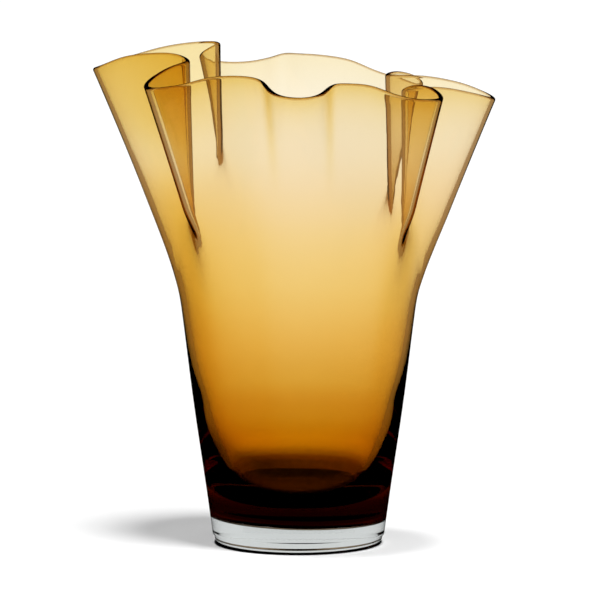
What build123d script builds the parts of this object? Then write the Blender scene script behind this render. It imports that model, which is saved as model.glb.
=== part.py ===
from build123d import *
import math
import os
import numpy as np

# Free-standing mouth-blown vase in two fused glasses: an amber vessel with a
# pleated, flared rim, and a thick clear foot.  Millimetres, +Z up, front
# towards -Y, origin on the table plane under the middle of the overall width
# and depth.  The rim is hand-shaped, so the axis of the round body is a little
# off that middle.

# ---------------------------------------------------------------- dimensions
AXIS_X = 2.11            # axis of the round body and foot
AXIS_Y = -1.79
WAIST_Z = 119.0          # height where the pleats begin
CONE_Z = 18.8            # reference height of the tapered lower body
CONE_R = 45.0            # outer radius there
CONE_SLOPE = 0.1358      # growth of the radius with height
CONE_BULGE = 0.45        # slight belly of the lower body
SEAM_Z = 13.8            # height of the amber/clear seam on the axis
SEAM_TILT = 0.023        # the seam drops this much per mm towards +X
FOOT_EDGE_R = 2.8        # rounding of the foot's bottom edge
PONTIL_R = 12.0          # ground hollow in the middle of the underside
PONTIL_DEPTH = 1.6
RIM_BEAD = 2.5           # thickness of the fire-polished rim
RIM_DROP = 0.6           # bead centre below the traced rim line
COLUMNS = 96             # sections are splines through this many points
DENSE = 1440             # samples of the rim line

# outer wall thickness against height, from the thick bottom to the rim
WALL_Z = [96.0, 105.0, 119.0, 135.0, 150.0, 175.0, 200.0, 225.0, 260.0]
WALL_T = [3.6, 3.3, 3.0, 2.85, 2.75, 2.6, 2.5, 2.45, 2.45]

# inside of the thick lower body: radius, height
CAVITY = [(8.0, 21.7), (14.5, 22.2), (20.0, 23.3), (25.0, 25.2), (29.2, 28.0), (32.5, 31.8), (35.0, 36.2),
          (37.2, 41.4), (39.5, 47.6), (41.8, 54.4), (44.2, 62.4), (46.75, 71.9), (49.65, 83.5)]

# closed line of the rim about the body's axis, left lobe first, then round the front
RIM = [
    (-101.5, 6.0, 237.9), (-99.3, -0.5, 239.3), (-94.3, -6.0, 241.8), (-86.8, -9.1, 244.8), (-75.8, -10.8, 246.6),
    (-65.1, -12.7, 247.1), (-58.4, -16.1, 246.2), (-55.0, -21.4, 244.7), (-56.8, -27.6, 244.0), (-62.8, -35.9, 242.7),
    (-69.0, -46.3, 240.4), (-73.6, -57.0, 238.0), (-74.6, -64.3, 236.3), (-71.5, -69.2, 235.7), (-65.1, -70.5, 236.2),
    (-55.6, -69.2, 237.6), (-45.4, -66.4, 240.0), (-35.3, -65.0, 241.0), (-29.6, -65.0, 241.0), (-18.8, -68.6, 239.4),
    (-14.8, -75.0, 236.3), (-9.9, -80.9, 233.5), (-1.4, -84.2, 232.3), (4.7, -83.8, 232.5), (10.5, -80.2, 233.8),
    (14.6, -73.4, 236.1), (18.7, -68.0, 237.4), (25.1, -66.5, 237.4), (35.3, -67.1, 236.4), (45.3, -69.7, 233.2),
    (54.6, -71.2, 230.8), (63.2, -70.3, 230.0), (69.7, -63.9, 230.3), (69.8, -60.4, 231.0), (67.0, -53.0, 233.1),
    (61.8, -43.6, 234.0), (56.0, -35.1, 233.1), (52.1, -26.3, 230.2), (53.0, -22.5, 229.6), (58.4, -17.9, 229.9),
    (67.8, -13.7, 230.1), (79.0, -10.4, 228.4), (88.3, -6.7, 226.0), (94.3, -1.5, 224.0), (97.2, 5.4, 222.8),
    (95.9, 12.3, 223.4), (90.9, 19.9, 225.1), (83.9, 25.5, 227.3), (74.2, 29.7, 229.4), (62.7, 32.2, 230.9),
    (51.6, 34.4, 231.1), (46.8, 37.8, 230.9), (44.8, 43.2, 230.8), (47.2, 49.0, 231.2), (52.3, 55.5, 230.5),
    (58.9, 62.9, 227.7), (62.3, 70.5, 224.1), (60.9, 75.1, 222.7), (55.8, 79.9, 223.6), (47.1, 83.8, 225.7),
    (37.1, 86.4, 228.9), (26.7, 87.9, 233.1), (17.2, 87.1, 235.2), (7.7, 83.7, 236.6), (-1.2, 77.6, 237.7),
    (-9.0, 72.6, 237.9), (-11.4, 73.8, 237.0), (-16.8, 79.6, 234.9), (-23.7, 84.7, 233.1), (-31.1, 86.3, 232.4),
    (-38.8, 83.8, 232.9), (-44.9, 78.6, 234.5), (-48.8, 71.8, 236.7), (-49.2, 68.0, 238.1), (-44.6, 57.2, 243.0),
    (-40.6, 48.7, 246.2), (-41.7, 46.1, 246.9), (-47.2, 43.9, 247.2), (-56.9, 42.7, 246.5), (-68.8, 40.0, 244.7),
    (-79.5, 35.6, 242.2), (-88.8, 29.6, 240.0), (-95.2, 22.3, 238.4), (-99.6, 13.9, 237.6),
]

# lobes and inward noses in turn: index in RIM, azimuth on the waist (degrees),
# how slowly the pleat opens above the waist, and the shares of the way up to the
# rim where the tight fold starts and where it is full
STATIONS = [
    (0, 176.7, 0.45, 0.00, 0.10), (7, 209.5, 0.10, 0.26, 0.48), (12, 227.0, 0.10, 0.26, 0.48),
    (18, 251.0, 0.12, 0.40, 0.90), (22, 273.0, 0.25, 0.50, 1.00), (27, 292.0, 0.12, 0.40, 0.90),
    (32, 318.5, 0.10, 0.27, 0.49), (37, 333.0, 0.10, 0.27, 0.49), (44, 365.0, 0.20, 0.00, 0.10),
    (52, 397.5, 0.14, 0.26, 0.49), (56, 415.5, 0.14, 0.26, 0.49), (65, 458.0, 0.25, 0.50, 1.00),
    (73, 477.0, 0.30, 0.37, 0.63), (75, 490.0, 0.30, 0.37, 0.63),
]
FOLD_BLUR = 20.0         # width over which the pleats are evened out below the folds


# ------------------------------------------------------------------ the shape
def periodic_spline(t, pts, tq):
    """Closed cubic spline through pts at parameters t in [0, 1), read at tq."""
    t = np.asarray(t, float)
    pts = np.asarray(pts, float)
    n = len(t)
    h = np.diff(np.concatenate([t, [1.0]]))
    a = np.zeros((n, n))
    b = np.zeros(pts.shape)
    for i in range(n):
        hm, hp = h[i - 1], h[i]
        a[i, i - 1] += hm
        a[i, i] += 2 * (hm + hp)
        a[i, (i + 1) % n] += hp
        b[i] = 6 * ((pts[(i + 1) % n] - pts[i]) / hp - (pts[i] - pts[i - 1]) / hm)
    m = np.linalg.solve(a, b)
    tq = np.mod(tq, 1.0)
    k = np.clip(np.searchsorted(t, tq, side="right") - 1, 0, n - 1)
    k1 = (k + 1) % n
    hk = h[k][:, None]
    f = ((tq - t[k]) / h[k])[:, None]
    return (pts[k] * (1 - f) + pts[k1] * f
            + hk ** 2 / 6 * (((1 - f) ** 3 - (1 - f)) * m[k] + (f ** 3 - f) * m[k1]))


def chord_fraction(pts):
    step = np.linalg.norm(np.roll(pts, -1, 0) - pts, axis=1)
    s = np.concatenate([[0.0], np.cumsum(step)])
    return s[:-1] / s[-1], s[-1]


def ring_smooth(v, sigma):
    """Gaussian smoothing of samples round a closed line, sigma as a fraction of it."""
    n = len(v)
    f = np.fft.fftfreq(n, 1.0 / n)
    g = np.exp(-0.5 * (2 * np.pi * f * sigma) ** 2)
    g = g.reshape((n,) + (1,) * (v.ndim - 1))
    return np.real(np.fft.ifft(np.fft.fft(v, axis=0) * g, axis=0))


def cone_radius(z):
    bulge = np.sin(np.pi * np.clip((z - CONE_Z) / 103.0, 0, 1)) ** 2
    return CONE_R + CONE_SLOPE * (z - CONE_Z) + CONE_BULGE * bulge


def straight_cone(z):
    return CONE_R + CONE_SLOPE * (z - CONE_Z)


class Pleats:
    """The pleated upper wall: a ruled blend from the round waist to the rim line."""

    def __init__(self):
        ctrl = np.array(RIM)
        t, length = chord_fraction(ctrl)
        fine_t = np.linspace(0, 1, 7200, endpoint=False)
        fine = periodic_spline(t, ctrl, fine_t)
        s, self.length = chord_fraction(fine)
        at = np.interp(np.arange(DENSE) / DENSE, np.append(s, 1.0), np.append(fine_t, 1.0))
        self.rim = periodic_spline(t, ctrl, at)
        station_s = np.interp([t[i] for i, *_ in STATIONS], np.append(fine_t, 1.0), np.append(s, 1.0))
        u = np.arange(DENSE) / DENSE
        az = self._through(station_s, [q[1] for q in STATIONS], 360.0, u)
        lin = az[0] + 360.0 * u
        az = lin + ring_smooth(az - lin, 0.006)
        self.phi = np.radians(az)
        self.lag = ring_smooth(self._through(station_s, [q[2] for q in STATIONS], 0.0, u), 0.008)
        self.start = ring_smooth(self._through(station_s, [q[3] for q in STATIONS], 0.0, u), 0.008)
        self.full = ring_smooth(self._through(station_s, [q[4] for q in STATIONS], 0.0, u), 0.008)
        self.low = ring_smooth(self.rim, FOLD_BLUR / self.length)
        self.dir = np.stack([np.cos(self.phi), np.sin(self.phi)], -1)

    @staticmethod
    def _through(x, y, period, u):
        """Monotone cubic through the stations, continued round the ring."""
        x = np.asarray(x)
        y = np.asarray(y, float)
        xx = np.concatenate([x - 1, x, x + 1])
        yy = np.concatenate([y - period, y, y + period])
        h = np.diff(xx)
        d = np.diff(yy) / h
        m = np.zeros(len(xx))
        for i in range(1, len(xx) - 1):
            if d[i - 1] * d[i] > 0:
                w1, w2 = 2 * h[i] + h[i - 1], h[i] + 2 * h[i - 1]
                m[i] = (w1 + w2) / (w1 / d[i - 1] + w2 / d[i])
        k = np.clip(np.searchsorted(xx, u, side="right") - 1, 0, len(xx) - 2)
        f = (u - xx[k]) / h[k]
        return ((1 + 2 * f) * (1 - f) ** 2 * yy[k] + f * (1 - f) ** 2 * h[k] * m[k]
                + f * f * (3 - 2 * f) * yy[k + 1] + f * f * (f - 1) * h[k] * m[k + 1])

    def point(self, w):
        """Reference surface at w, 0 at the waist and 1 at the rim."""
        z = WAIST_Z + (self.rim[:, 2] - WAIST_Z) * w
        grow = ((1 + self.lag) * w * w / (w + self.lag) if w > 0 else np.zeros(DENSE))[:, None]
        out = np.zeros((DENSE, 3))
        out[:, 2] = z
        fold = np.clip((w - self.start) / (self.full - self.start), 0, 1)
        fold = (fold * fold * (3 - 2 * fold))[:, None]
        wide = self.low[:, :2] - straight_cone(self.rim[:, 2])[:, None] * self.dir
        out[:, :2] = (cone_radius(z)[:, None] * self.dir
                      + (wide + (self.rim[:, :2] - self.low[:, :2]) * fold) * grow)
        return out

    def frame(self, w):
        """Point, outward normal and upward tangent at w."""
        p = self.point(w)
        along = np.roll(p, -1, 0) - np.roll(p, 1, 0)
        up = self.point(w + 1e-4) - self.point(w - 1e-4)
        up /= np.linalg.norm(up, axis=1)[:, None]
        n = np.cross(along, up)
        n /= np.linalg.norm(n, axis=1)[:, None]
        return p, n, up

    def wall(self, w, side):
        """Outer (side=1) or inner (side=-1) face of the wall at w."""
        p, n, _ = self.frame(w)
        t = np.interp(p[:, 2], WALL_Z, WALL_T)
        lip = np.clip((w - 0.955) / 0.04, 0, 1)
        t = t + (RIM_BEAD - t) * (lip * lip * (3 - 2 * lip))
        m = np.clip(w / 0.5, 0, 1)
        m = 0.5 * m * m * (3 - 2 * m)
        off = m * t if side > 0 else (m - 1.0) * t
        return p + n * off[:, None]

    def bead(self, w, angle):
        """Rounded rim: angle 0 at the outer face, 180 at the inner face."""
        p, n, up = self.frame(w)
        a = math.radians(angle)
        return p + n * (RIM_BEAD / 2 * math.cos(a)) + up * (RIM_BEAD / 2 * math.sin(a))

    def columns(self, count):
        """Indices of the section points, closer together in the tight bends."""
        d1 = (np.roll(self.rim, -1, 0) - np.roll(self.rim, 1, 0)) / 2
        d2 = np.roll(self.rim, -1, 0) - 2 * self.rim + np.roll(self.rim, 1, 0)
        k = np.linalg.norm(np.cross(d1, d2), axis=1) / np.linalg.norm(d1, axis=1) ** 3
        k = ring_smooth(k, 4.0 / self.length)
        c = np.concatenate([[0.0], np.cumsum(1 + 6 * np.sqrt(np.clip(k, 0, 0.25)))])
        i = np.interp(np.arange(count) / count, c / c[-1], np.arange(DENSE + 1))
        return np.unique(np.round(i).astype(int) % DENSE)


def round_row(phi, r, z):
    return np.stack([r * np.cos(phi), r * np.sin(phi), np.broadcast_to(z, phi.shape)], -1)


def vessel_rows(pleats):
    """Closed sections from the seam up the outside, over the rim and down the inside."""
    phi = pleats.phi
    rows = []
    z = np.full(DENSE, SEAM_Z)
    for _ in range(30):
        z = SEAM_Z - SEAM_TILT * straight_cone(z) * np.cos(phi)
    rows.append(round_row(phi, straight_cone(z), z))
    for zz in (18.8, 26.0, 36.0, 48.0, 60.0, 72.0, 84.0, 96.0, 108.0):
        rows.append(round_row(phi, cone_radius(zz), zz))
    up = [0.0, 0.06, 0.12, 0.18, 0.24, 0.30, 0.36, 0.42, 0.48, 0.54, 0.61, 0.70, 0.80, 0.88, 0.94, 0.978]
    top = 1.0 - RIM_DROP / 118.0
    for w in up:
        rows.append(pleats.wall(w, 1))
    for a in (0, 30, 60, 90, 120, 150, 180):
        rows.append(pleats.bead(top, a))
    for w in reversed(up):
        rows.append(pleats.wall(w, -1))
    # thick lower body: the wall offset meets the cavity profile
    for zz in (108.0, 96.0):
        t = np.interp(zz, WALL_Z, WALL_T)
        lean = math.atan(CONE_SLOPE)
        rows.append(round_row(phi, cone_radius(zz) - t * math.cos(lean), zz + t * math.sin(lean)))
    for r, zz in reversed(CAVITY):
        rows.append(round_row(phi, r, zz))
    return rows


def make_vessel():
    pleats = Pleats()
    cols = pleats.columns(COLUMNS)
    par = [float(c) / DENSE for c in cols] + [1.0 + float(cols[0]) / DENSE]
    wires = []
    for row in vessel_rows(pleats):
        pts = [Vector(float(row[c][0]) + AXIS_X, float(row[c][1]) + AXIS_Y, float(row[c][2])) for c in cols]
        wires.append(Wire([Edge.make_spline(pts, periodic=True, parameters=par)]))
    return Solid.make_loft(wires, ruled=True)


def make_foot():
    r0 = straight_cone(0.0)
    r1 = straight_cone(30.0)
    # sphere of the ground hollow
    ball = (PONTIL_R ** 2 + PONTIL_DEPTH ** 2) / (2 * PONTIL_DEPTH)
    with BuildPart() as foot:
        with BuildSketch(Plane((AXIS_X, AXIS_Y, 0), x_dir=(1, 0, 0), z_dir=(0, -1, 0))):
            with BuildLine():
                Polyline((0, 0), (r0, 0), (r1, 30.0), (0, 30.0), (0, 0))
            make_face()
        revolve(axis=Axis((AXIS_X, AXIS_Y, 0), (0, 0, 1)))
        edge = foot.edges().filter_by(GeomType.CIRCLE).sort_by(Axis.Z)[0]
        fillet(edge, FOOT_EDGE_R)
        with Locations((AXIS_X, AXIS_Y, PONTIL_DEPTH - ball)):
            Sphere(ball, mode=Mode.SUBTRACT)
        # everything above the tilted seam belongs to the amber
        tilt = math.degrees(math.atan(SEAM_TILT))
        with Locations(Location((AXIS_X, AXIS_Y, SEAM_Z), (0, tilt, 0))):
            Box(200, 200, 80, align=(Align.CENTER, Align.CENTER, Align.MIN), mode=Mode.SUBTRACT)
    return foot.part


os.makedirs("parts", exist_ok=True)
export_step(make_vessel(), "parts/amber_vessel.step")
export_step(make_foot(), "parts/clear_foot.step")
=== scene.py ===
import bpy
import math
import numpy as np
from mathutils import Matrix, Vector


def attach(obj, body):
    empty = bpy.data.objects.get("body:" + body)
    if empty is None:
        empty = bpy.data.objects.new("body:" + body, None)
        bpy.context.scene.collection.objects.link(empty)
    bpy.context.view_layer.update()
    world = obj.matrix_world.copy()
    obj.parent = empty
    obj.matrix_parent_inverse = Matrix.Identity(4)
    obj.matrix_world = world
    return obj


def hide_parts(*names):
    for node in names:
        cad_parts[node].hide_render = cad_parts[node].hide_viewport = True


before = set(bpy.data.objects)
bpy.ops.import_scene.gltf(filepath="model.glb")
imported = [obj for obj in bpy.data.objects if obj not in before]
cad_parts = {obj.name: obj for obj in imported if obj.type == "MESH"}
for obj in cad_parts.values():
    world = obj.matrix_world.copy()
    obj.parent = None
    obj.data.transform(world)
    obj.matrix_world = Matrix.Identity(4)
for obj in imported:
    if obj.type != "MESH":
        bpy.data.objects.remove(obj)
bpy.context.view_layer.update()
scene = bpy.context.scene

# ------------------------------------------------------------- shape, in mm
AXIS_X, AXIS_Y = 2.11, -1.79
WAIST_Z = 119.0
CONE_Z, CONE_R, CONE_SLOPE, CONE_BULGE = 18.8, 45.0, 0.1358, 0.45
SEAM_Z, SEAM_TILT = 13.8, 0.023
SEAM_GAP = 0.02
FOOT_EDGE_R = 2.8
PONTIL_R, PONTIL_DEPTH = 12.0, 1.6
RIM_BEAD, RIM_DROP = 2.5, 0.6
CAVITY_Z = 21.6
DENSE = 1440

WALL_Z = [96.0, 105.0, 119.0, 135.0, 150.0, 175.0, 200.0, 225.0, 260.0]
WALL_T = [3.6, 3.3, 3.0, 2.85, 2.75, 2.6, 2.5, 2.45, 2.45]
CAVITY = [(8.0, 21.7), (14.5, 22.2), (20.0, 23.3), (25.0, 25.2), (29.2, 28.0), (32.5, 31.8), (35.0, 36.2),
          (37.2, 41.4), (39.5, 47.6), (41.8, 54.4), (44.2, 62.4), (46.75, 71.9), (49.65, 83.5)]

RIM = [
    (-101.5, 6.0, 237.9), (-99.3, -0.5, 239.3), (-94.3, -6.0, 241.8), (-86.8, -9.1, 244.8), (-75.8, -10.8, 246.6),
    (-65.1, -12.7, 247.1), (-58.4, -16.1, 246.2), (-55.0, -21.4, 244.7), (-56.8, -27.6, 244.0), (-62.8, -35.9, 242.7),
    (-69.0, -46.3, 240.4), (-73.6, -57.0, 238.0), (-74.6, -64.3, 236.3), (-71.5, -69.2, 235.7), (-65.1, -70.5, 236.2),
    (-55.6, -69.2, 237.6), (-45.4, -66.4, 240.0), (-35.3, -65.0, 241.0), (-29.6, -65.0, 241.0), (-18.8, -68.6, 239.4),
    (-14.8, -75.0, 236.3), (-9.9, -80.9, 233.5), (-1.4, -84.2, 232.3), (4.7, -83.8, 232.5), (10.5, -80.2, 233.8),
    (14.6, -73.4, 236.1), (18.7, -68.0, 237.4), (25.1, -66.5, 237.4), (35.3, -67.1, 236.4), (45.3, -69.7, 233.2),
    (54.6, -71.2, 230.8), (63.2, -70.3, 230.0), (69.7, -63.9, 230.3), (69.8, -60.4, 231.0), (67.0, -53.0, 233.1),
    (61.8, -43.6, 234.0), (56.0, -35.1, 233.1), (52.1, -26.3, 230.2), (53.0, -22.5, 229.6), (58.4, -17.9, 229.9),
    (67.8, -13.7, 230.1), (79.0, -10.4, 228.4), (88.3, -6.7, 226.0), (94.3, -1.5, 224.0), (97.2, 5.4, 222.8),
    (95.9, 12.3, 223.4), (90.9, 19.9, 225.1), (83.9, 25.5, 227.3), (74.2, 29.7, 229.4), (62.7, 32.2, 230.9),
    (51.6, 34.4, 231.1), (46.8, 37.8, 230.9), (44.8, 43.2, 230.8), (47.2, 49.0, 231.2), (52.3, 55.5, 230.5),
    (58.9, 62.9, 227.7), (62.3, 70.5, 224.1), (60.9, 75.1, 222.7), (55.8, 79.9, 223.6), (47.1, 83.8, 225.7),
    (37.1, 86.4, 228.9), (26.7, 87.9, 233.1), (17.2, 87.1, 235.2), (7.7, 83.7, 236.6), (-1.2, 77.6, 237.7),
    (-9.0, 72.6, 237.9), (-11.4, 73.8, 237.0), (-16.8, 79.6, 234.9), (-23.7, 84.7, 233.1), (-31.1, 86.3, 232.4),
    (-38.8, 83.8, 232.9), (-44.9, 78.6, 234.5), (-48.8, 71.8, 236.7), (-49.2, 68.0, 238.1), (-44.6, 57.2, 243.0),
    (-40.6, 48.7, 246.2), (-41.7, 46.1, 246.9), (-47.2, 43.9, 247.2), (-56.9, 42.7, 246.5), (-68.8, 40.0, 244.7),
    (-79.5, 35.6, 242.2), (-88.8, 29.6, 240.0), (-95.2, 22.3, 238.4), (-99.6, 13.9, 237.6),
]
# rim point, azimuth of the same column at the waist, lag of the flare behind a straight
# line, and the share of the way up where the tight part of the fold starts and is full
STATIONS = [
    (0, 176.7, 0.45, 0.00, 0.10), (7, 209.5, 0.10, 0.26, 0.48), (12, 227.0, 0.10, 0.26, 0.48),
    (18, 251.0, 0.12, 0.40, 0.90), (22, 273.0, 0.25, 0.50, 1.00), (27, 292.0, 0.12, 0.40, 0.90),
    (32, 318.5, 0.10, 0.27, 0.49), (37, 333.0, 0.10, 0.27, 0.49), (44, 365.0, 0.20, 0.00, 0.10),
    (52, 397.5, 0.14, 0.26, 0.49), (56, 415.5, 0.14, 0.26, 0.49), (65, 458.0, 0.25, 0.50, 1.00),
    (73, 477.0, 0.30, 0.37, 0.63), (75, 490.0, 0.30, 0.37, 0.63),
]
FOLD_BLUR = 20.0
# rim point and the colour gathered below it, as extra blue depth of one wall
GATHER = [(0, 0.46), (7, 1.30), (12, 0.34), (14, 0.16), (16, 0.04), (18, 0.10), (22, 0.00), (27, 0.02), (30, 0.04),
          (32, 0.44), (37, 0.50), (40, 0.05), (44, 0.05), (52, 0.20), (56, 0.10), (65, 0.05), (73, 0.34), (75, 0.44)]

NOTCH_SHADE_RIM_POINTS = [20, 25]   # rim points beside the front notch below which dark streaks are painted: painted shade for the sides of the shallow fold


def periodic_spline(t, pts, tq):
    t = np.asarray(t, float)
    pts = np.asarray(pts, float)
    n = len(t)
    h = np.diff(np.concatenate([t, [1.0]]))
    a = np.zeros((n, n))
    b = np.zeros(pts.shape)
    for i in range(n):
        hm, hp = h[i - 1], h[i]
        a[i, i - 1] += hm
        a[i, i] += 2 * (hm + hp)
        a[i, (i + 1) % n] += hp
        b[i] = 6 * ((pts[(i + 1) % n] - pts[i]) / hp - (pts[i] - pts[i - 1]) / hm)
    m = np.linalg.solve(a, b)
    tq = np.mod(tq, 1.0)
    k = np.clip(np.searchsorted(t, tq, side="right") - 1, 0, n - 1)
    k1 = (k + 1) % n
    hk = h[k][:, None]
    f = ((tq - t[k]) / h[k])[:, None]
    return (pts[k] * (1 - f) + pts[k1] * f
            + hk ** 2 / 6 * (((1 - f) ** 3 - (1 - f)) * m[k] + (f ** 3 - f) * m[k1]))


def open_spline(t, y, tq):
    """Natural cubic spline through y at t."""
    t = np.asarray(t, float)
    y = np.asarray(y, float)
    n = len(t)
    h = np.diff(t)
    a = np.zeros((n, n))
    b = np.zeros(y.shape)
    a[0, 0] = a[-1, -1] = 1
    for i in range(1, n - 1):
        a[i, i - 1], a[i, i], a[i, i + 1] = h[i - 1], 2 * (h[i - 1] + h[i]), h[i]
        b[i] = 6 * ((y[i + 1] - y[i]) / h[i] - (y[i] - y[i - 1]) / h[i - 1])
    m = np.linalg.solve(a, b)
    k = np.clip(np.searchsorted(t, tq, side="right") - 1, 0, n - 2)
    f = (tq - t[k]) / h[k]
    hk = h[k]
    if y.ndim > 1:
        f, hk = f[:, None], hk[:, None]
    return (y[k] * (1 - f) + y[k + 1] * f
            + hk ** 2 / 6 * (((1 - f) ** 3 - (1 - f)) * m[k] + (f ** 3 - f) * m[k + 1]))


def chord_fraction(pts):
    step = np.linalg.norm(np.roll(pts, -1, 0) - pts, axis=1)
    s = np.concatenate([[0.0], np.cumsum(step)])
    return s[:-1] / s[-1], s[-1]


def ring_smooth(v, sigma):
    n = len(v)
    f = np.fft.fftfreq(n, 1.0 / n)
    g = np.exp(-0.5 * (2 * np.pi * f * sigma) ** 2).reshape((n,) + (1,) * (v.ndim - 1))
    return np.real(np.fft.ifft(np.fft.fft(v, axis=0) * g, axis=0))


def cone_radius(z):
    bulge = np.sin(np.pi * np.clip((z - CONE_Z) / 103.0, 0, 1)) ** 2
    return CONE_R + CONE_SLOPE * (z - CONE_Z) + CONE_BULGE * bulge


def straight_cone(z):
    return CONE_R + CONE_SLOPE * (z - CONE_Z)


def wall_thickness(z):
    return open_spline(WALL_Z, WALL_T, np.clip(z, WALL_Z[0], WALL_Z[-1]))


class Pleats:
    def __init__(self):
        ctrl = np.array(RIM)
        t, _ = chord_fraction(ctrl)
        fine_t = np.linspace(0, 1, 7200, endpoint=False)
        fine = periodic_spline(t, ctrl, fine_t)
        s, self.length = chord_fraction(fine)
        at = np.interp(np.arange(DENSE) / DENSE, np.append(s, 1.0), np.append(fine_t, 1.0))
        self.rim = periodic_spline(t, ctrl, at)
        where = np.interp([t[i] for i, *_ in STATIONS], np.append(fine_t, 1.0), np.append(s, 1.0))
        u = np.arange(DENSE) / DENSE
        az = self._through(where, [q[1] for q in STATIONS], 360.0, u)
        lin = az[0] + 360.0 * u
        self.phi = np.radians(lin + ring_smooth(az - lin, 0.006))
        self.lag = ring_smooth(self._through(where, [q[2] for q in STATIONS], 0.0, u), 0.008)
        self.start = ring_smooth(self._through(where, [q[3] for q in STATIONS], 0.0, u), 0.008)
        self.full = ring_smooth(self._through(where, [q[4] for q in STATIONS], 0.0, u), 0.008)
        self.low = ring_smooth(self.rim, FOLD_BLUR / self.length)
        # where the painted shade streaks beside the front notch lie
        arc = np.interp([t[i] for i in NOTCH_SHADE_RIM_POINTS], np.append(fine_t, 1.0), np.append(s, 1.0))
        away = ((u[:, None] - arc + 0.5) % 1.0 - 0.5) * self.length
        self.notch_fold_shade = np.exp(-(away / 3.5) ** 2).sum(1)
        # weight of the painted rim shade: strongest on the front (-y) side, which faces the camera
        self.lip = np.clip((30.0 - self.low[:, 1]) / 80.0, 0.08, 1.0)
        spots = np.interp([t[i] for i, _ in GATHER], np.append(fine_t, 1.0), np.append(s, 1.0))
        self.gather = ring_smooth(self._through(spots, [q[1] for q in GATHER], 0.0, u), 0.006)
        self.dir = np.stack([np.cos(self.phi), np.sin(self.phi)], -1)

    @staticmethod
    def _through(x, y, period, u):
        x = np.asarray(x)
        y = np.asarray(y, float)
        xx = np.concatenate([x - 1, x, x + 1])
        yy = np.concatenate([y - period, y, y + period])
        h = np.diff(xx)
        d = np.diff(yy) / h
        m = np.zeros(len(xx))
        for i in range(1, len(xx) - 1):
            if d[i - 1] * d[i] > 0:
                w1, w2 = 2 * h[i] + h[i - 1], h[i] + 2 * h[i - 1]
                m[i] = (w1 + w2) / (w1 / d[i - 1] + w2 / d[i])
        k = np.clip(np.searchsorted(xx, u, side="right") - 1, 0, len(xx) - 2)
        f = (u - xx[k]) / h[k]
        return ((1 + 2 * f) * (1 - f) ** 2 * yy[k] + f * (1 - f) ** 2 * h[k] * m[k]
                + f * f * (3 - 2 * f) * yy[k + 1] + f * f * (f - 1) * h[k] * m[k + 1])

    def point(self, w):
        z = WAIST_Z + (self.rim[:, 2] - WAIST_Z) * w
        grow = ((1 + self.lag) * w * w / (w + self.lag) if w > 0 else np.zeros(DENSE))[:, None]
        out = np.zeros((DENSE, 3))
        out[:, 2] = z
        fold = np.clip((w - self.start) / (self.full - self.start), 0, 1)
        fold = (fold * fold * (3 - 2 * fold))[:, None]
        wide = self.low[:, :2] - straight_cone(self.rim[:, 2])[:, None] * self.dir
        out[:, :2] = (cone_radius(z)[:, None] * self.dir
                      + (wide + (self.rim[:, :2] - self.low[:, :2]) * fold) * grow)
        return out

    def frame(self, w):
        p = self.point(w)
        along = np.roll(p, -1, 0) - np.roll(p, 1, 0)
        up = self.point(w + 1e-4) - self.point(w - 1e-4)
        up /= np.linalg.norm(up, axis=1)[:, None]
        n = np.cross(along, up)
        n /= np.linalg.norm(n, axis=1)[:, None]
        return p, n, up

    def wall(self, w, side):
        p, n, _ = self.frame(w)
        t = wall_thickness(p[:, 2])
        lip = np.clip((w - 0.955) / 0.04, 0, 1)
        t = t + (RIM_BEAD - t) * (lip * lip * (3 - 2 * lip))
        m = np.clip(w / 0.5, 0, 1)
        m = 0.5 * m * m * (3 - 2 * m)
        off = m * t if side > 0 else (m - 1.0) * t
        return p + n * off[:, None]

    def bead(self, w, angle):
        p, n, up = self.frame(w)
        a = math.radians(angle)
        return p + n * (RIM_BEAD / 2 * math.cos(a)) + up * (RIM_BEAD / 2 * math.sin(a))


def round_row(phi, r, z):
    return np.stack([r * np.cos(phi), r * np.sin(phi), np.broadcast_to(z, phi.shape)], -1)


def seam_height(phi, lift):
    z = np.full(len(phi), SEAM_Z)
    for _ in range(30):
        z = SEAM_Z + lift - SEAM_TILT * straight_cone(z) * np.cos(phi)
    return z


def vessel_rows(p):
    """Sections from the seam's middle out, up the outside, over the rim and down the inside."""
    phi = p.phi
    rows, seam_rows = [], 0
    zs = seam_height(phi, SEAM_GAP)
    rs = straight_cone(zs)
    for f in (0.12, 0.3, 0.5, 0.7, 0.86, 0.96):
        r = rs * f
        rows.append(round_row(phi, r, SEAM_Z + SEAM_GAP - SEAM_TILT * r * np.cos(phi)))
    seam_rows = len(rows)
    rows.append(round_row(phi, rs, zs))
    for f in np.linspace(0, 1, 27)[1:-1]:
        z = zs + (WAIST_Z - zs) * f
        rows.append(round_row(phi, cone_radius(z), z))
    up = np.concatenate([np.linspace(0, 0.9, 37), np.linspace(0.9, 0.955, 5)[1:], np.linspace(0.955, 0.9935, 7)[1:]])
    top = 1.0 - RIM_DROP / 118.0
    rows += [p.wall(w, 1) for w in up]
    bead = (len(rows), len(rows) + 12)
    rows += [p.bead(top, a) for a in np.linspace(0, 180, 13)]
    rows += [p.wall(w, -1) for w in up[::-1]]
    # inside of the thick lower body
    lean = math.atan(CONE_SLOPE)
    prof = [(0.0, CAVITY_Z)] + CAVITY
    for z in (96.0, 108.0, WAIST_Z):
        t = float(wall_thickness(np.array([z]))[0])
        prof.append((float(cone_radius(np.array(z))) - t * math.cos(lean), z + t * math.sin(lean)))
    prof = np.array(prof)
    s = np.concatenate([[0.0], np.cumsum(np.linalg.norm(np.diff(prof, axis=0), axis=1))])
    q = np.concatenate([np.linspace(s[0], s[8], 22)[1:], np.linspace(s[8], s[-1], 22)[1:-1]])
    for r, z in open_spline(s, prof, q)[::-1]:
        rows.append(round_row(phi, r, z))
    return rows, seam_rows, bead


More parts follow.
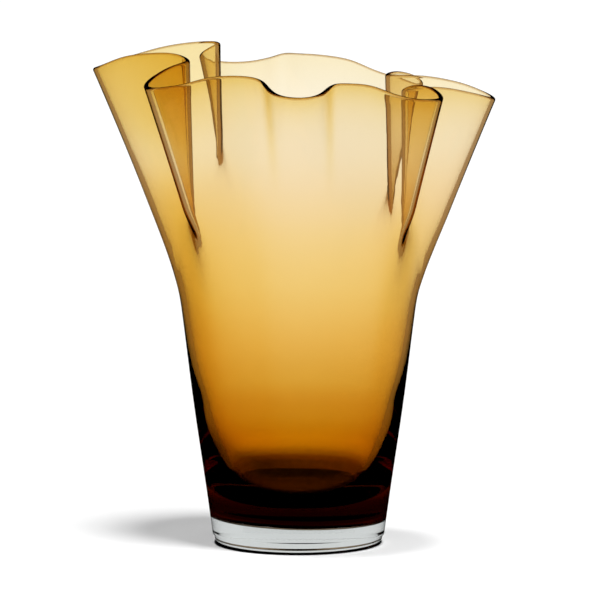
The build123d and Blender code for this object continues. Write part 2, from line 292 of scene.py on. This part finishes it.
def foot_rows(count):
    phi = np.linspace(0, 2 * np.pi, count, endpoint=False)
    rows = []
    ball = (PONTIL_R ** 2 + PONTIL_DEPTH ** 2) / (2 * PONTIL_DEPTH)
    soft = 0.5
    # ground hollow, flat ring, rounded bottom edge, tapered side
    for r in np.linspace(0.8, PONTIL_R - soft, 12):
        rows.append(round_row(phi, r, PONTIL_DEPTH - ball + math.sqrt(ball * ball - r * r)))
    rows.append(round_row(phi, PONTIL_R - 0.15, 0.035))
    rows.append(round_row(phi, PONTIL_R + 0.25, 0.0))
    r0 = float(straight_cone(np.array(0.0)))
    lean = math.atan(CONE_SLOPE)
    # fillet between the underside and the leaning side
    turn = math.pi / 2 + lean
    back = FOOT_EDGE_R * math.tan(turn / 2)
    cx = r0 - back
    for r in np.linspace(PONTIL_R + 1.2, cx - 0.6, 9):
        rows.append(round_row(phi, r, 0.0))
    for a in np.linspace(0, turn, 13):
        rows.append(round_row(phi, cx + FOOT_EDGE_R * math.sin(a), FOOT_EDGE_R - FOOT_EDGE_R * math.cos(a)))
    z1 = FOOT_EDGE_R - FOOT_EDGE_R * math.cos(turn)
    zs = seam_height(phi, 0.0)
    for f in np.linspace(0, 1, 9)[1:]:
        z = z1 + (zs - z1) * f
        rows.append(round_row(phi, straight_cone(z), z))
    seam_start = len(rows) - 1
    rs = straight_cone(zs)
    for f in (0.96, 0.86, 0.7, 0.5, 0.3, 0.12):
        r = rs * f
        rows.append(round_row(phi, r, SEAM_Z - SEAM_TILT * r * np.cos(phi)))
    return rows, seam_start


def rows_to_mesh(name, rows, first_pole, last_pole, columns=None, seam=lambda i: False):
    """Closed mesh from sections, with a pole point at each end."""
    rows = [r if columns is None else r[columns] for r in rows]
    n = len(rows[0])
    pts = np.concatenate(rows + [np.array([first_pole, last_pole])])
    pts = pts + np.array([AXIS_X, AXIS_Y, 0.0])
    faces, flags = [], []
    for i in range(len(rows) - 1):
        a, b = i * n, (i + 1) * n
        for j in range(n):
            k = (j + 1) % n
            faces.append((a + j, a + k, b + k, b + j))
            flags.append(seam(i))
    p0, p1 = len(rows) * n, len(rows) * n + 1
    last = (len(rows) - 1) * n
    for j in range(n):
        k = (j + 1) % n
        faces.append((p0, k, j))
        flags.append(seam(-1))
        faces.append((p1, last + j, last + k))
        flags.append(seam(len(rows)))
    mesh = bpy.data.meshes.new(name)
    mesh.from_pydata((pts / 1000.0).tolist(), [], faces)
    mesh.update()
    layer = mesh.attributes.new("seam", "FLOAT", "FACE")
    layer.data.foreach_set("value", np.array(flags, dtype=np.float32))
    smooth = ~np.array(flags, bool)
    mesh.polygons.foreach_set("use_smooth", smooth)
    obj = bpy.data.objects.new(name, mesh)
    scene.collection.objects.link(obj)
    return obj


def pick_columns(p, count):
    d1 = (np.roll(p.rim, -1, 0) - np.roll(p.rim, 1, 0)) / 2
    d2 = np.roll(p.rim, -1, 0) - 2 * p.rim + np.roll(p.rim, 1, 0)
    k = np.linalg.norm(np.cross(d1, d2), axis=1) / np.linalg.norm(d1, axis=1) ** 3
    k = ring_smooth(k, 4.0 / p.length)
    c = np.concatenate([[0.0], np.cumsum(1 + 3 * np.sqrt(np.clip(k, 0, 0.25)))])
    i = np.interp(np.arange(count) / count, c / c[-1], np.arange(DENSE + 1))
    return np.unique(np.round(i).astype(int) % DENSE)


pleats = Pleats()
v_rows, v_seam, v_bead = vessel_rows(pleats)
v_columns = pick_columns(pleats, 480)
vessel = rows_to_mesh("amber_vessel_glass", v_rows,
                      (0, 0, SEAM_Z + SEAM_GAP), (0, 0, CAVITY_Z),
                      columns=v_columns, seam=lambda i: i < v_seam)
f_rows, f_seam = foot_rows(320)
foot = rows_to_mesh("clear_foot_glass", f_rows, (0, 0, PONTIL_DEPTH), (0, 0, SEAM_Z),
                    seam=lambda i: i >= f_seam)
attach(vessel, "root")
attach(foot, "root")
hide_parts("amber_vessel")
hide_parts("clear_foot")


# -------------------------------------------------------------------- glass
def glass(name, absorb, density):
    mat = bpy.data.materials.new(name)
    mat.use_nodes = True
    nt = mat.node_tree
    nt.nodes.clear()
    out = nt.nodes.new("ShaderNodeOutputMaterial")
    bsdf = nt.nodes.new("ShaderNodeBsdfPrincipled")
    bsdf.inputs["Transmission Weight"].default_value = 1.0
    bsdf.inputs["Roughness"].default_value = 0.0
    bsdf.inputs["IOR"].default_value = 1.5
    nt.links.new(bsdf.outputs["BSDF"], out.inputs["Surface"])
    vol = nt.nodes.new("ShaderNodeVolumeAbsorption")
    vol.inputs["Color"].default_value = (*absorb, 1.0)
    vol.inputs["Density"].default_value = density
    nt.links.new(vol.outputs["Volume"], out.inputs["Volume"])
    # the fused seam neither bends nor mirrors light
    seam = nt.nodes.new("ShaderNodeAttribute")
    seam.attribute_name = "seam"
    ior = nt.nodes.new("ShaderNodeMapRange")
    ior.inputs["To Min"].default_value = 1.5
    ior.inputs["To Max"].default_value = 1.0001
    nt.links.new(seam.outputs["Fac"], ior.inputs["Value"])
    nt.links.new(ior.outputs["Result"], bsdf.inputs["IOR"])
    return mat, nt, bsdf, seam


amber, nt, bsdf, seam = glass("amber_glass", (0.91, 0.63, 0.0), 102.5)
# The colour attribute read here holds the amber colour plus painted shade on the rim and beside the front notch.
tint_and_shade = nt.nodes.new("ShaderNodeAttribute")
tint_and_shade.attribute_name = "tint_and_shade"
nt.links.new(tint_and_shade.outputs["Color"], bsdf.inputs["Base Color"])
vessel.data.materials.append(amber)

# The colour is gathered into the outside of the base and thins out towards the rim:
# optical depth (red, green, blue) of one crossing of the wall, by height in mm.
UPPER = [
    (58.0, (0.22, 0.53, 1.80)), (70.0, (0.15, 0.34, 1.21)),
    (80.0, (0.128, 0.335, 1.13)), (92.0, (0.080, 0.272, 0.94)), (107.0, (0.050, 0.220, 0.775)),
    (122.0, (0.025, 0.138, 0.56)), (147.0, (0.007, 0.092, 0.385)), (172.0, (0.0, 0.052, 0.15)),
    (200.0, (0.0, 0.008, 0.03)), (250.0, (0.0, 0.008, 0.03)),
]
OUTSIDE = [
    (22.0, (4.40, 5.40, 6.00)), (26.0, (3.00, 4.20, 6.00)), (30.0, (1.40, 1.80, 5.20)), (34.0, (0.50, 0.84, 4.60)),
    (38.0, (0.28, 0.64, 3.90)), (43.0, (0.35, 0.72, 3.30)), (49.0, (0.28, 0.60, 2.30)),
] + UPPER
INSIDE = [
    (24.0, (0.10, 0.30, 2.20)), (30.0, (0.14, 0.40, 2.60)), (37.0, (0.14, 0.40, 2.70)),
    (43.0, (0.20, 0.53, 2.50)), (49.0, (0.25, 0.55, 2.10)),
] + UPPER
RIM_BEAD_SHADE = np.array([0.80, 1.25, 1.9])   # painted shade: the rim bead is darkened to brown for the dark line the edge shows when seen lengthways


GATHER_RATIO = np.array([0.09, 0.25, 1.0])


def paint_tint_and_shade(obj, columns, rows, bead):
    me = obj.data
    n = len(me.vertices)
    co = np.empty(n * 3)
    me.vertices.foreach_get("co", co)
    z = co.reshape(n, 3)[:, 2] * 1000.0
    row = np.append(np.repeat(np.arange(rows), len(columns)), [0, rows - 1])
    d = np.where((row > bead[1])[:, None], *[
        np.stack([np.interp(z, [q[0] for q in face], [q[1][i] for q in face]) for i in range(3)], -1)
        for face in (INSIDE, OUTSIDE)])
    extra = np.append(np.tile(pleats.gather[columns], rows), [0, 0])
    extra *= 1 - 0.55 * np.exp(-((z - 192.0) / 16.0) ** 2)
    # Darker towards the rim top.
    lip = np.clip((z - 205.0) / 35.0, 0, 1)
    extra = extra + 0.17 * lip * lip * (3 - 2 * lip)
    notch_fold_shade, front_rim_shade, top = [np.append(np.tile(v[columns], rows), [0, 0])
                           for v in (pleats.notch_fold_shade, pleats.lip, pleats.rim[:, 2])]
    # Painted shade: dark streaks running down beside the front notch, fading out below 178 mm.
    extra = extra + 0.62 * notch_fold_shade * np.clip((z - 178.0) / 50.0, 0, 1) ** 1.5
    # Painted shade: a narrow dark band under the rim top, strongest on the front side facing the camera.
    extra = extra + 0.75 * front_rim_shade * np.exp(-np.clip(top - z, 0, 200) / 5.5)
    d = d + extra[:, None] * GATHER_RATIO
    # Painted shade: the rim bead rows are darkened to brown.
    bead_shade_mask = np.clip((row - bead[0]) / 3.0, 0, 1) * np.clip((bead[1] - row) / 3.0, 0, 1)
    d = d + bead_shade_mask[:, None] * RIM_BEAD_SHADE
    rgba = np.ones((n, 4), dtype=np.float32)
    rgba[:, :3] = np.exp(-np.clip(d, 0, 6))
    layer = me.color_attributes.new("tint_and_shade", "FLOAT_COLOR", "POINT")
    layer.data.foreach_set("color", rgba.ravel())


paint_tint_and_shade(vessel, v_columns, len(v_rows), v_bead)

clear, nt2, bsdf2, seam2 = glass("clear_glass", (0.46, 0.5, 0.49), 12.0)
bsdf2.inputs["Base Color"].default_value = (0.985, 0.99, 0.99, 1.0)
foot.data.materials.append(clear)

# -------------------------------------------------------------------- stage
FLOOR_R = 12.0
WHITE = 1.14           # brightness of the white surroundings seen through the glass
MIRROR_SHADE = (0.42, 0.31, 0.21)   # painted shade: what is left of it, dark and warm, once light was mirrored inside the glass
WORLD_LOW, WORLD_HIGH = 0.005, 0.03


def mirrored_shade_tone(nt, level):
    """Colour that turns dark and warm once light was mirrored inside the glass: on the floor this is painted shade that
    darkens the glass edges; in the world it dims the light.
    """
    path = nt.nodes.new("ShaderNodeLightPath")
    mix = nt.nodes.new("ShaderNodeMix")
    mix.data_type = "RGBA"
    nt.links.new(path.outputs["Glossy Depth"], mix.inputs[0])
    mix.inputs[6].default_value = (level, level, level, 1)
    mix.inputs[7].default_value = (*[level * e for e in MIRROR_SHADE], 1)
    return path, mix.outputs[2]


floor_mesh = bpy.data.meshes.new("floor")
ring = [(FLOOR_R * math.cos(2 * math.pi * i / 256), FLOOR_R * math.sin(2 * math.pi * i / 256), 0.0) for i in range(256)]
floor_mesh.from_pydata(ring, [], [tuple(range(256))])
floor = bpy.data.objects.new("floor", floor_mesh)
floor.location.z = -0.0002
scene.collection.objects.link(floor)
floor.visible_glossy = False   # a dark room in front, as mirrored by the glass
fm = bpy.data.materials.new("floor_white_with_mirror_shade")
fm.use_nodes = True
fb = fm.node_tree.nodes["Principled BSDF"]
# The floor's colour is painted dark and warm where it is seen after a mirroring inside the glass: painted shade for the
# dark glass edges.
_, mirror_shade_colour = mirrored_shade_tone(fm.node_tree, 0.925)
fm.node_tree.links.new(mirror_shade_colour, fb.inputs["Base Color"])
fb.inputs["Roughness"].default_value = 0.9
fb.inputs["Specular IOR Level"].default_value = 0.0
floor_mesh.materials.append(fm)

# World: soft light from above for the floor; through the glass, white low down all round and dark
# overhead; plain white behind the object.
world = bpy.data.worlds.new("studio")
scene.world = world
world.use_nodes = True
wn = world.node_tree
bg = wn.nodes["Background"]
wc = wn.nodes.new("ShaderNodeTexCoord")
ws = wn.nodes.new("ShaderNodeSeparateXYZ")
wn.links.new(wc.outputs["Generated"], ws.inputs["Vector"])


def by_height(z0, z1, v0, v1):
    r = wn.nodes.new("ShaderNodeMapRange")
    r.interpolation_type = "SMOOTHSTEP"
    for k, v in zip(("From Min", "From Max", "To Min", "To Max"), (z0, z1, v0, v1)):
        r.inputs[k].default_value = v
    wn.links.new(ws.outputs["Z"], r.inputs["Value"])
    return r


def choose(fac, a, b):
    m = wn.nodes.new("ShaderNodeMix")
    wn.links.new(fac, m.inputs["Factor"])
    wn.links.new(a, m.inputs["A"])
    if hasattr(b, "is_linked"):
        wn.links.new(b, m.inputs["B"])
    else:
        m.inputs["B"].default_value = b
    return m.outputs["Result"]


path, mirror_shade_colour = mirrored_shade_tone(wn, 1.0)
wn.links.new(mirror_shade_colour, bg.inputs["Color"])
light = choose(path.outputs["Is Transmission Ray"],
               by_height(0.1, 0.85, WORLD_LOW, WORLD_HIGH).outputs["Result"],
               by_height(0.35, 0.6, WHITE, 0.03).outputs["Result"])
light = choose(path.outputs["Is Camera Ray"], light, 1.2)
wn.links.new(light, bg.inputs["Strength"])
world.cycles_visibility.glossy = False

for name, power, spread, source in (("key", 2.95, 28.0, (0.66, -0.60, 1.0)), ("fill", 1.43, 18.0, (-0.28, 0.0, 1.0))):
    data = bpy.data.lights.new(name, "SUN")
    data.energy = power
    data.angle = math.radians(spread)
    lamp = bpy.data.objects.new(name, data)
    lamp.rotation_euler = (-Vector(source)).to_track_quat("-Z", "Y").to_euler()
    lamp.visible_glossy = lamp.visible_transmission = False
    scene.collection.objects.link(lamp)

# Thin glass lets the light through: only the dense bottom of the vase shades the floor.
vessel.visible_shadow = vessel.visible_diffuse = False
N = 64
lo, hi = 0.0008, 0.072
shade_pts = [(float(straight_cone(z * 1000)) / 1000 * math.cos(2 * math.pi * i / N) + AXIS_X / 1000,
              float(straight_cone(z * 1000)) / 1000 * math.sin(2 * math.pi * i / N) + AXIS_Y / 1000, z)
             for z in (lo, hi) for i in range(N)]
shade_mesh = bpy.data.meshes.new("shade")
shade_mesh.from_pydata(shade_pts, [], [(i, (i + 1) % N, N + (i + 1) % N, N + i) for i in range(N)]
                       + [tuple(range(N, 2 * N))])
shade = bpy.data.objects.new("shade", shade_mesh)
shade.visible_camera = shade.visible_glossy = shade.visible_transmission = False
scene.collection.objects.link(shade)

# ------------------------------------------------------------------- camera
cam_data = bpy.data.cameras.new("camera")
cam_data.sensor_width = 36.0
cam_data.lens = 468.0
cam_data.clip_end = 100.0
cam = bpy.data.objects.new("camera", cam_data)
target = Vector((0.00075 + AXIS_X / 1000, AXIS_Y / 1000, 0.1222))
el = math.radians(7.6)
cam.location = target + Vector((0, -math.cos(el), math.sin(el))) * 3.9
cam.rotation_euler = (target - cam.location).to_track_quat("-Z", "Y").to_euler()
scene.collection.objects.link(cam)
scene.camera = cam

scene.view_settings.view_transform = "Standard"
scene.view_settings.look = "None"
scene.cycles.max_bounces = 40
scene.cycles.transmission_bounces = 40
scene.cycles.glossy_bounces = 12
scene.cycles.transparent_max_bounces = 16
scene.cycles.caustics_refractive = False
scene.cycles.caustics_reflective = False

bpy.context.view_layer.update()
